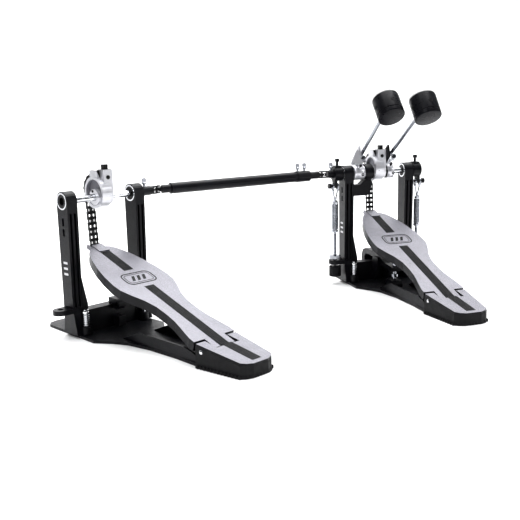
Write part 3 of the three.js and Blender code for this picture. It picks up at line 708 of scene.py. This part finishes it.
def knurl(mesh, place, low, high, radius, teeth):
    """A grip ring with round flutes down its side."""
    outline = []
    steps = teeth * 6
    for i in range(steps):
        angle = 2 * math.pi * i / steps
        wave = abs(math.sin(angle * teeth / 2))
        reach = radius - FLUTE_DEPTH + FLUTE_DEPTH * wave ** 0.6
        outline.append((reach * math.cos(angle), reach * math.sin(angle)))
    inner = [(x * 0.86, y * 0.86) for x, y in outline]
    rings = []
    for shape, z in ((inner, low), (outline, low + 0.9), (outline, high - 0.9), (inner, high)):
        rings.append([mesh.verts.new(place @ (Vector((x, y, z)) * MM)) for x, y in shape])
    face_loop(mesh, rings)


# ---- beaters --------------------------------------------------------------------------------
BEATER_REACH = {"a": 153.5, "b": 167.0}    # from the rod's foot to the head's middle, mm
ROD_OFFSET = 0.0205         # of the beater rod's line from the axle's


def beaters():
    """Plastic shells with a felt face, on the line of the CAD rods."""
    for tag in "ab":
        slide = joint(f"beater_{tag}_height")
        along = Vector(slide["axis"]).normalized()
        out = along.cross(Vector((1, 0, 0)))
        if out.y < 0:
            out.negate()
        low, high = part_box(f"beater_felt_{tag}")
        felt_centre = (Vector(low) + Vector(high)) / 2
        foot = Vector((felt_centre.x, 0, AXLE_Z)) + out * ROD_OFFSET
        middle = foot + along * BEATER_REACH[tag] * MM
        head = axes(middle, out)
        mesh = bmesh.new()
        profile = [(0.5, -21), (19.6, -21), (21.2, -20.6), (21.9, -19.6), (22, -18.6), (22, -14.6),
                   (21.6, -14.0), (21.2, -13.8), (21.2, -13.2), (21.6, -13.0), (22, -12.4), (22, 15.4),
                   (21.6, 16.6), (20.8, 17), (0.5, 17)]
        add_lathe(mesh, profile, head, 64)
        neck = axes(middle, -along, out)
        add_lathe(mesh, [(7.2, 18.5), (7.2, 22.4), (6.2, 24.0), (6.0, 27.6), (4.6, 28.4)], neck, 32)
        piece(f"beater_shell_{tag}", mesh, "plastic", f"beater_{tag}", 0.0, [f"beater_head_{tag}"], 30)
        mesh = bmesh.new()
        add_lathe(mesh, [(20.6, 17.05), (21.3, 17.6), (21.4, 18.8), (20.6, 20.6), (18.6, 22.4),
                         (15, 23.4), (9, 24.1), (0.6, 24.35)], head, 64)
        piece(f"beater_pad_{tag}", mesh, "felt", f"beater_{tag}", 0.0, [f"beater_felt_{tag}"], 60)
        mesh = bmesh.new()
        for side in (along, Vector((-1, 0, 0))):
            socket_screw(mesh, middle + side * 0.0219, side, 3.4)
        piece(f"beater_set_screws_{tag}", mesh, "ink", f"beater_{tag}")


AXLE_LINE = axes((0, 0, AXLE_Z), (1, 0, 0))
AXLE_BORE = 6.4             # radius inside the collars and spacers, mm
# each hub's body, its collar's two ends along the axle, and where its screws stand, in mm
HUBS = {"a": ("half_axle", (-46.5, -28.5), -37.0), "b": ("main_axle", (16.4, 28.8), 21.6)}
SPACERS = ((13.0, 16.2), (-12.0, -9.6))    # ends of each along the axle, mm


def hub_fittings():
    """Collars, clamp screws, memory plate and spacers round the two beater hubs."""
    for tag, (body, (left, right), x) in HUBS.items():
        mesh = bmesh.new()
        add_lathe(mesh, [(AXLE_BORE, left), (12.1, left), (12.7, left + 0.8), (12.7, right - 0.8),
                         (12.1, right), (AXLE_BORE, right)], AXLE_LINE, 48)
        piece(f"hub_collar_{tag}", mesh, "cast", body, 0.0, (), 40)
        mesh = bmesh.new()
        key_screw(mesh, (x * MM, -0.0105, AXLE_Z + 0.0105), (-0.1, -0.8, 0.6), 0.75)
        socket_screw(mesh, ((x + 5) * MM, -0.0124, AXLE_Z - 0.003), (0, -1, -0.2), 2.6)
        piece(f"hub_clamp_screws_{tag}", mesh, "steel", body, 0.0001)
        mesh = bmesh.new()
        key_screw(mesh, ((x + 4) * MM, 0.004, AXLE_Z + 0.0125), (0.4, -0.2, 0.85), 0.75)
        at = axes(((x + 3) * MM, -0.0165, AXLE_Z + 0.0265), (-0.35, -0.92, 0.15))
        knurl(mesh, at, 0, 4.6, 4.6, 12)
        add_lathe(mesh, [(2.0, -9), (2.0, 0.2)], at, 16)
        piece(f"hub_thumb_screw_{tag}", mesh, "rod", body, 0.0002)
    mesh = bmesh.new()
    outline = [(-10.5, -9.5), (-9, -11), (9, -11), (10.5, -9.5), (10.2, -7.5), (3, 14), (1.6, 15.2),
               (0.2, 14.4)]
    plate = axes((-0.0455, -0.0155, 0.2215), (-0.35, -0.93, 0.1))
    add_prism(mesh, outline, -1.1, 1.1, plate)
    piece("hub_memory_plate", mesh, "cast", "half_axle", 0.0003)
    mesh = bmesh.new()
    for low, high in SPACERS:
        profile = [(AXLE_BORE, low), (11.8, low), (11.8, high), (AXLE_BORE, high)]
        add_lathe(mesh, profile, AXLE_LINE, 40)
    piece("axle_spacers", mesh, "steel", "main_axle")
    repaint(NODES["beater_hub_b"], "steel", lambda c, n: c.x < 0.0172 and c.z > 0.2085)


# ---- stage ----------------------------------------------------------------------------------
WORLD_LIGHT = 0.5
PALE = (0.93, 0.93, 0.93)
SWEEP_RADIUS = 0.9
WALL_Y = 1.6                # where the floor starts to curve up
LAMP_TARGET = Vector((-0.25, -0.05, 0.1))
# name, position, side of the square and power
LAMPS = [
    ("key", (-1.5, -1.2, 1.6), 0.9, 14),
    ("top", (0.0, 0.5, 2.6), 3.0, 75),
    ("side", (1.7, -0.9, 1.0), 0.5, 6),
    ("back", (0.3, 1.0, 3.4), 3.5, 95),
]


def sweep_profile():
    """Floor, curve and back wall as (y, z) points, in metres."""
    points = [(-3.2, 0.0), (WALL_Y, 0.0)]
    steps = 12
    for i in range(1, steps + 1):
        angle = math.pi / 2 * i / steps
        points.append((WALL_Y + SWEEP_RADIUS * math.sin(angle), SWEEP_RADIUS * (1 - math.cos(angle))))
    return points + [(WALL_Y + SWEEP_RADIUS, 4.0)]


def backdrop():
    """Pale floor that curves up into a wall."""
    mesh = bmesh.new()
    profile = sweep_profile()
    rails = [[mesh.verts.new((x, y, z)) for y, z in profile] for x in (-5.0, 5.0)]
    for i in range(len(profile) - 1):
        mesh.faces.new((rails[0][i], rails[1][i], rails[1][i + 1], rails[0][i + 1]))
    data = bpy.data.meshes.new("floor")
    mesh.to_mesh(data)
    mesh.free()
    data.polygons.foreach_set("use_smooth", [True] * len(data.polygons))
    floor = bpy.data.objects.new("floor", data)
    bpy.context.scene.collection.objects.link(floor)
    data.materials.append(material("pale_floor", PALE, 0.8, spread=0.01, bump=0.0))


def sky():
    """Light from above that fades to dark below the horizon; the camera sees plain pale."""
    world = bpy.data.worlds.new("studio")
    bpy.context.scene.world = world
    world.use_nodes = True
    nodes, links = world.node_tree.nodes, world.node_tree.links
    split = nodes.new("ShaderNodeSeparateXYZ")
    links.new(nodes.new("ShaderNodeTexCoord").outputs["Generated"], split.inputs["Vector"])
    fade = nodes.new("ShaderNodeValToRGB")
    fade.color_ramp.elements[0].position = 0.15
    fade.color_ramp.elements[0].color = (0.02, 0.02, 0.022, 1)
    fade.color_ramp.elements[1].position = 0.75
    fade.color_ramp.elements[1].color = (0.95, 0.97, 1, 1)
    links.new(split.outputs["Z"], fade.inputs["Fac"])
    links.new(fade.outputs["Color"], nodes["Background"].inputs["Color"])
    nodes["Background"].inputs["Strength"].default_value = WORLD_LIGHT
    pale = nodes.new("ShaderNodeBackground")
    pale.inputs["Color"].default_value = (*PALE, 1)
    seen = nodes.new("ShaderNodeMixShader")
    links.new(nodes.new("ShaderNodeLightPath").outputs["Is Camera Ray"], seen.inputs["Fac"])
    links.new(nodes["Background"].outputs["Background"], seen.inputs[1])
    links.new(pale.outputs["Background"], seen.inputs[2])
    links.new(seen.outputs["Shader"], nodes["World Output"].inputs["Surface"])


def lamps():
    for name, spot, size, power in LAMPS:
        lamp = bpy.data.lights.new(name, "AREA")
        lamp.size = size
        lamp.energy = power
        obj = bpy.data.objects.new(name, lamp)
        obj.location = spot
        obj.rotation_euler = (LAMP_TARGET - Vector(spot)).to_track_quat("-Z", "Y").to_euler()
        bpy.context.scene.collection.objects.link(obj)


def stage():
    backdrop()
    sky()
    lamps()
    bpy.context.scene.view_settings.view_transform = "Standard"
    bpy.context.scene.view_settings.look = "Medium High Contrast"


LENS_MM = 56.404
SENSOR_MM = 36
CAMERA_SPOT = Vector((-0.6450632, -1.299264, 0.3397193))
AZIMUTH, PITCH, ROLL = 18.1389, -11.7777, -1.2686    # degrees


def camera():
    lens = bpy.data.cameras.new("camera")
    lens.lens = LENS_MM
    lens.sensor_width = SENSOR_MM
    obj = bpy.data.objects.new("camera", lens)
    heading = Matrix.Rotation(math.radians(-AZIMUTH), 4, "Z")
    turn = heading @ Matrix.Rotation(math.radians(90 + PITCH), 4, "X")
    turn = turn @ Matrix.Rotation(math.radians(ROLL), 4, "Z")
    obj.matrix_world = Matrix.Translation(CAMERA_SPOT) @ turn
    bpy.context.scene.collection.objects.link(obj)
    bpy.context.scene.camera = obj


def build():
    camera()
    stage()
    finish_nodes()
    for prefix, (place, tag) in PEDALS.items():
        paint_board(prefix, place)
        paint_cam(prefix, place)
        paint_bearings(prefix, place)
        bearing_rings(prefix, place, f"{tag}_frame")
        grip_strips(prefix, place, f"{tag}_board", f"{tag}_frame")
        badge(prefix, place, f"{tag}_board")
        post_marks(prefix, place, f"{tag}_frame")
        heel_ribs(prefix, place, f"{tag}_frame")
        pin_ends(prefix, place, f"{tag}_frame")
        chains(prefix, place, tag)
        cam_screws(prefix, place, tag)
    drive_screws()
    springs()
    spurs()
    tension_rods()
    beaters()
    hub_fittings()


build()
